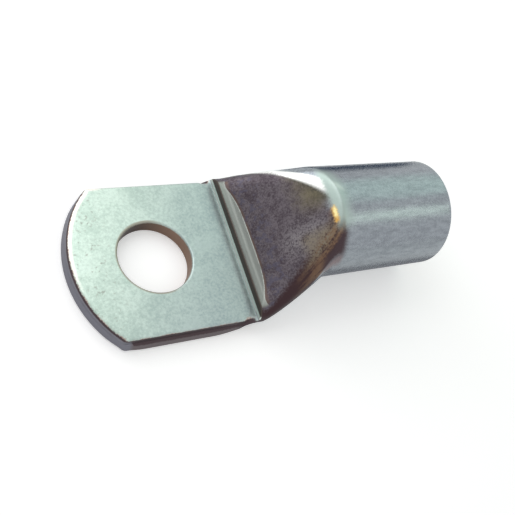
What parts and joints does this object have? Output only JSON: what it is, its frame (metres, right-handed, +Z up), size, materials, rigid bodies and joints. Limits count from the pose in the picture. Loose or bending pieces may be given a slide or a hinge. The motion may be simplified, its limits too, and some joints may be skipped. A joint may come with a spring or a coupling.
{
  "type": "tubular cable lug",
  "caption": "Tinned copper tube lug: round crimp barrel, sloping neck, ledge and step, and a flat coined palm with an arched end and a stud hole.",
  "frame": {"origin": "centre of the stud hole, on the underside of the palm", "axes": "+X along the lug towards the mouth of the barrel, +Z up out of the palm along the stud"},
  "size_m": [0.0436, 0.0188, 0.0128],
  "materials": {
    "tinned_copper": "dull tin plate on copper, mottled, darker and coppery at the neck and on cut edges"
  },
  "bodies": {
    "root": {"cable_lug": "tinned_copper"}
  },
  "joints": []
}
